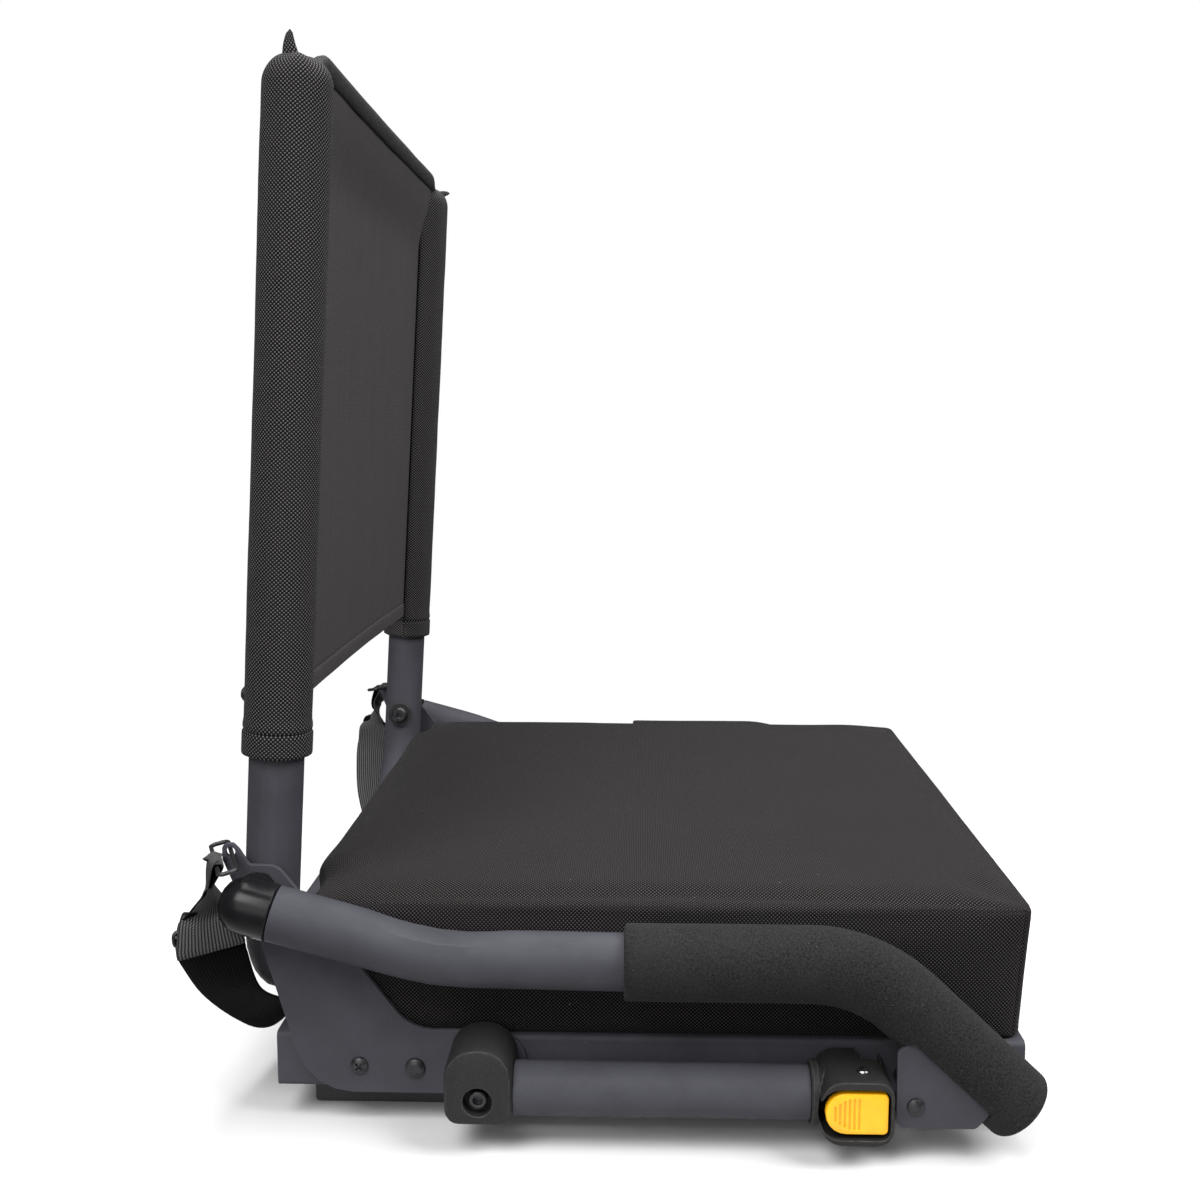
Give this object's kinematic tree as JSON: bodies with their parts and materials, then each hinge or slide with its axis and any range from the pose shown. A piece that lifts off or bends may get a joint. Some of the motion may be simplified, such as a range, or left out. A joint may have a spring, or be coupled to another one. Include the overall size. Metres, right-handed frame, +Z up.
{
  "type": "stadium chair",
  "caption": "Legless folding stadium seat: steel seat frame with a boxed cushion, foam-gripped arms, a fabric back that folds forward, latched swing-down bench bars and a carry strap.",
  "frame": {"origin": "centre of the chair's outline on the ground under its foot strips, the carry strap left out", "axes": "+Z up, -Y to the front of the seat, +X to the sitter's left"},
  "size_m": [0.573, 0.4916, 0.6127],
  "materials": {
    "frame_paint": "satin graphite powder coat",
    "cushion_cloth": "black woven polyester",
    "cover_cloth": "black woven polyester",
    "grip_foam": "matte closed-cell foam",
    "cap_plastic": "glossy black",
    "block_plastic": "fine-textured black nylon",
    "button_plastic": "yellow, slightly glossy",
    "black_steel": "black oxide",
    "bright_steel": "bright zinc",
    "webbing": "ribbed black webbing",
    "board_wood": "plain plywood",
    "foot_rubber": "matte black"
  },
  "bodies": {
    "base": {"carry_strap": "webbing", "front_rail": "frame_paint", "left_arm_cap": "cap_plastic", "left_arm_tube": "frame_paint", "left_catch_stud": "bright_steel", "left_foam_grip": "grip_foam", "left_foot_strip": "foot_rubber", "left_gusset": "frame_paint", "left_gusset_rivet": "black_steel", "left_gusset_spacer": "black_steel", "left_knuckle_bolt": "bright_steel", "left_pivot_bolt": "black_steel", "left_pivot_washer": "block_plastic", "left_plate_rivet": "black_steel", "left_plate_screw": "black_steel", "left_rail": "frame_paint", "left_side_plate": "frame_paint", "left_strap_ring": "black_steel", "rear_rail": "frame_paint", "right_arm_cap": "cap_plastic", "right_arm_tube": "frame_paint", "right_catch_stud": "bright_steel", "right_foam_grip": "grip_foam", "right_foot_strip": "foot_rubber", "right_gusset": "frame_paint", "right_gusset_rivet": "black_steel", "right_gusset_spacer": "black_steel", "right_knuckle_bolt": "bright_steel", "right_pivot_bolt": "black_steel", "right_pivot_washer": "block_plastic", "right_plate_rivet": "black_steel", "right_plate_screw": "black_steel", "right_rail": "frame_paint", "right_side_plate": "frame_paint", "right_strap_ring": "black_steel", "seat_board": "board_wood", "seat_cushion": "cushion_cloth", "strap_slide": "bright_steel"},
    "backrest": {"back_frame": "frame_paint", "back_cover": "cover_cloth", "right_post_plug": "block_plastic", "right_sleeve_screw": "black_steel", "left_post_plug": "block_plastic", "left_sleeve_screw": "black_steel"},
    "right_bar": {"right_knuckle": "block_plastic", "right_bar_tube": "frame_paint", "right_latch_housing": "block_plastic", "right_latch_pin": "bright_steel", "right_latch_spring": "bright_steel"},
    "left_bar": {"left_knuckle": "block_plastic", "left_bar_tube": "frame_paint", "left_latch_housing": "block_plastic", "left_latch_pin": "bright_steel", "left_latch_spring": "bright_steel"},
    "right_latch": {"right_latch_button": "button_plastic"},
    "left_latch": {"left_latch_button": "button_plastic"}
  },
  "joints": [
    {"name": "back_fold", "type": "hinge", "parent": "base", "child": "backrest", "pos_m": [0, 0.20385, 0.1475], "axis": [1, 0, 0], "range_deg": [-5.7, 80], "deforming": ["seat_cushion", "carry_strap", "strap_slide"]},
    {"name": "right_bar_swing", "type": "hinge", "parent": "base", "child": "right_bar", "pos_m": [-0.262, 0.07835, 0.034], "axis": [1, 0, 0], "range_deg": [0, 90]},
    {"name": "right_latch_press", "type": "hinge", "parent": "right_bar", "child": "right_latch", "pos_m": [-0.272, -0.13515, 0.034], "axis": [0, 0, -1], "range_deg": [0, 7], "stiffness_Nm_per_rad": 0.3, "deforming": ["right_latch_spring"]},
    {"name": "left_bar_swing", "type": "hinge", "parent": "base", "child": "left_bar", "pos_m": [0.262, 0.07835, 0.034], "axis": [1, 0, 0], "range_deg": [0, 90]},
    {"name": "left_latch_press", "type": "hinge", "parent": "left_bar", "child": "left_latch", "pos_m": [0.272, -0.13515, 0.034], "axis": [0, 0, 1], "range_deg": [0, 7], "stiffness_Nm_per_rad": 0.3, "deforming": ["left_latch_spring"]}
  ]
}
